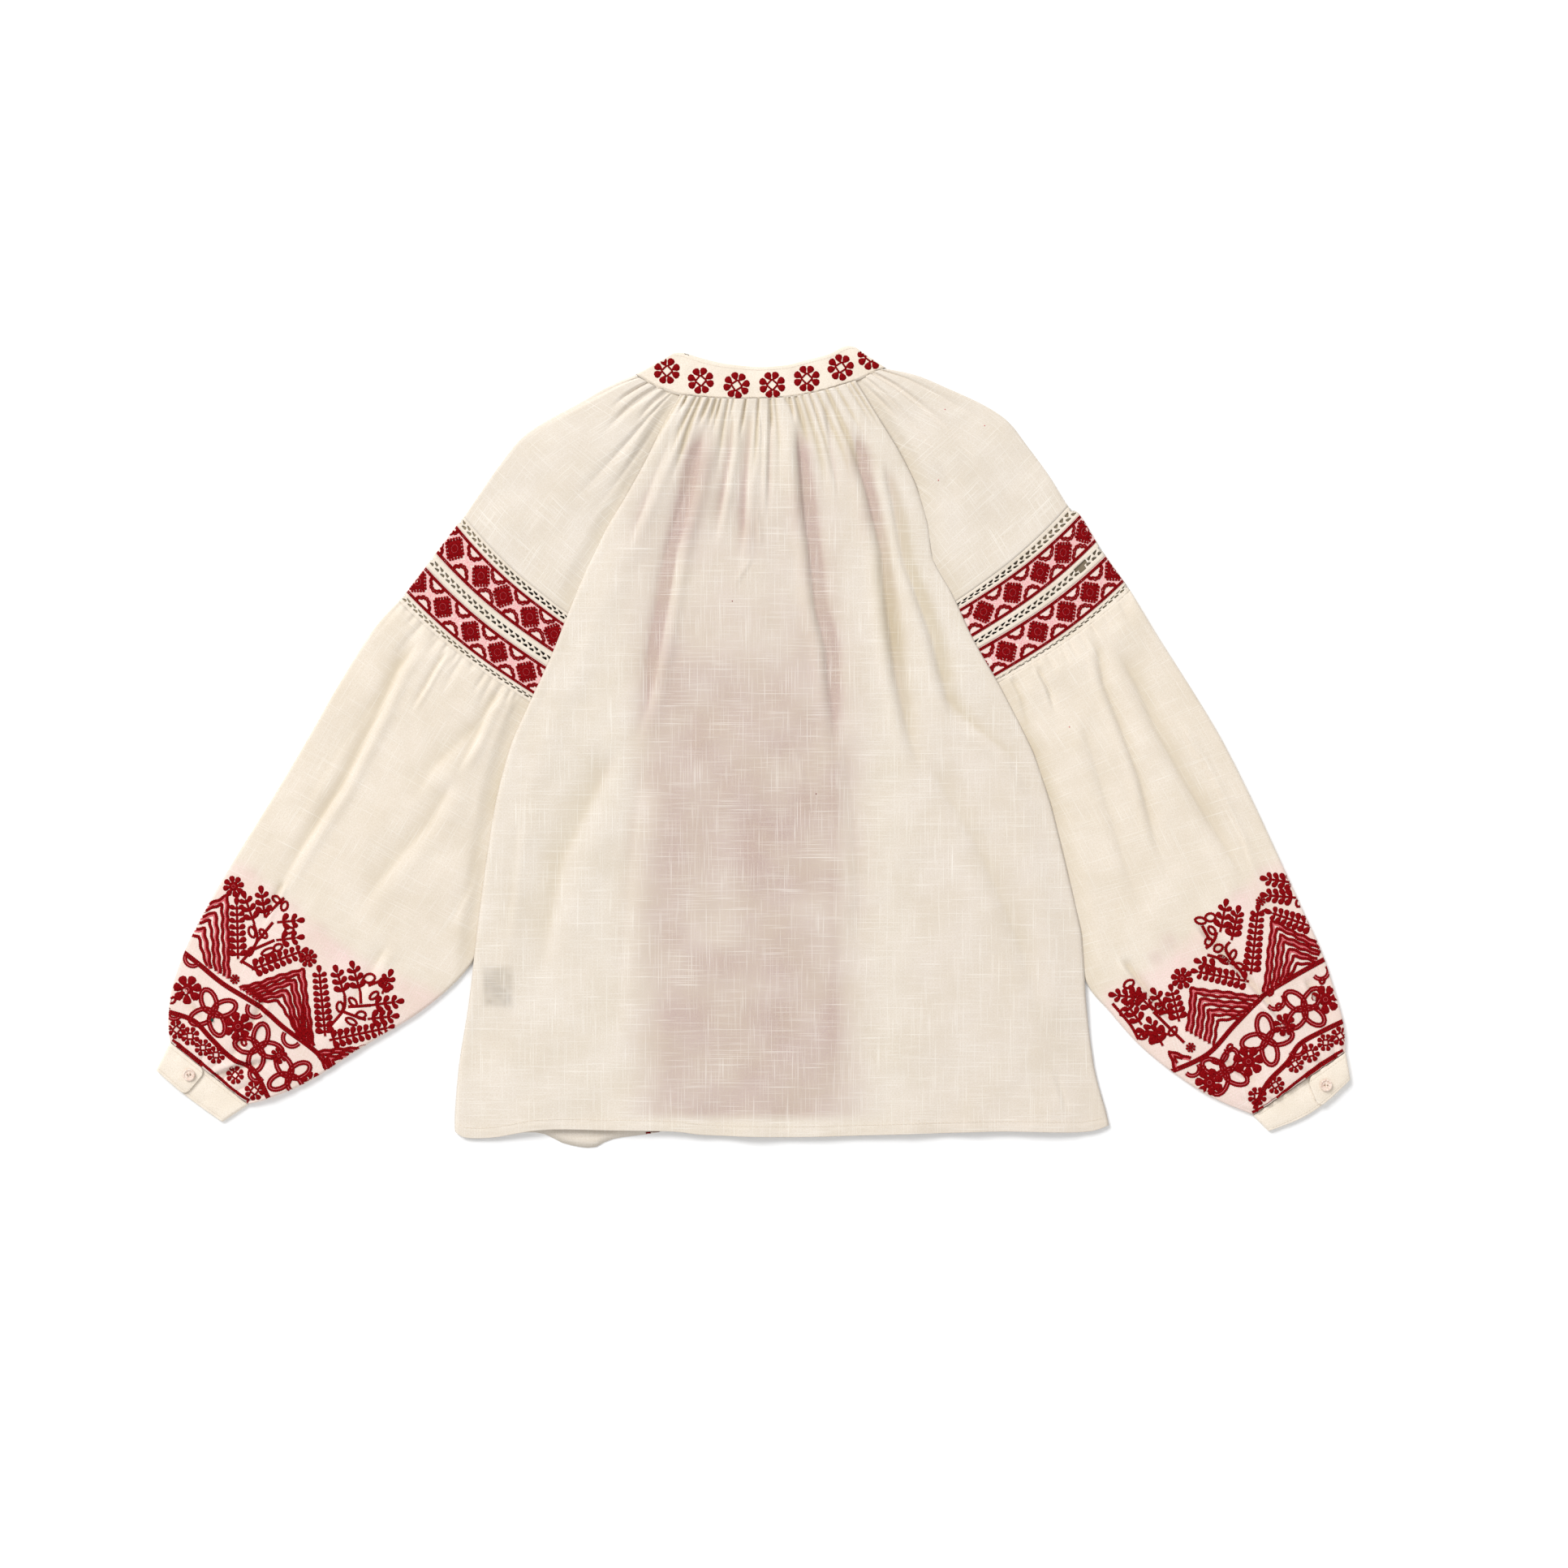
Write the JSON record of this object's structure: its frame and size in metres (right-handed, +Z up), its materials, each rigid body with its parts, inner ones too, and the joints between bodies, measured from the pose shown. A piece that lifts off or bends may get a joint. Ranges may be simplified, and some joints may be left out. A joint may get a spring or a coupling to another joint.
{
  "type": "blouse",
  "caption": "Peasant blouse laid flat, back up: gathered neckband, raglan balloon sleeves with embroidered bands and openwork strips, button cuffs.",
  "frame": {"origin": "middle of the laid-out blouse on the surface it lies on", "axes": "+X along the span of the sleeves, +Y from hem to neck, +Z up from the surface through the back panel"},
  "size_m": [0.9798, 0.6578, 0.0085],
  "materials": {
    "cotton_gauze": "slub cotton gauze, slightly sheer, matte",
    "sleeve_gauze": "slub cotton gauze, red chain-stitch embroidery above the cuff",
    "neckband_cotton": "doubled cotton with satin-stitch flowers",
    "cuff_cotton": "doubled cotton, matte",
    "openwork_lace": "openwork cotton strip",
    "embroidered_band": "dense red and pink thread on cotton",
    "button_resin": "pearly resin"
  },
  "bodies": {
    "root": {"back_panel": "cotton_gauze", "front_panel": "cotton_gauze", "neckband": "neckband_cotton", "sleeve_head_left": "cotton_gauze", "sleeve_head_right": "cotton_gauze", "lace_1_left": "openwork_lace", "lace_2_left": "openwork_lace", "lace_3_left": "openwork_lace", "lace_1_right": "openwork_lace", "lace_2_right": "openwork_lace", "lace_2_right_under": "openwork_lace", "lace_3_right": "openwork_lace", "band_1_left": "embroidered_band", "band_2_left": "embroidered_band", "band_1_right": "embroidered_band", "band_2_right": "embroidered_band", "lower_sleeve_left": "sleeve_gauze", "lower_sleeve_right": "sleeve_gauze", "cuff_left": "cuff_cotton", "cuff_right": "cuff_cotton", "button_left": "button_resin", "button_right": "button_resin"}
  },
  "joints": []
}
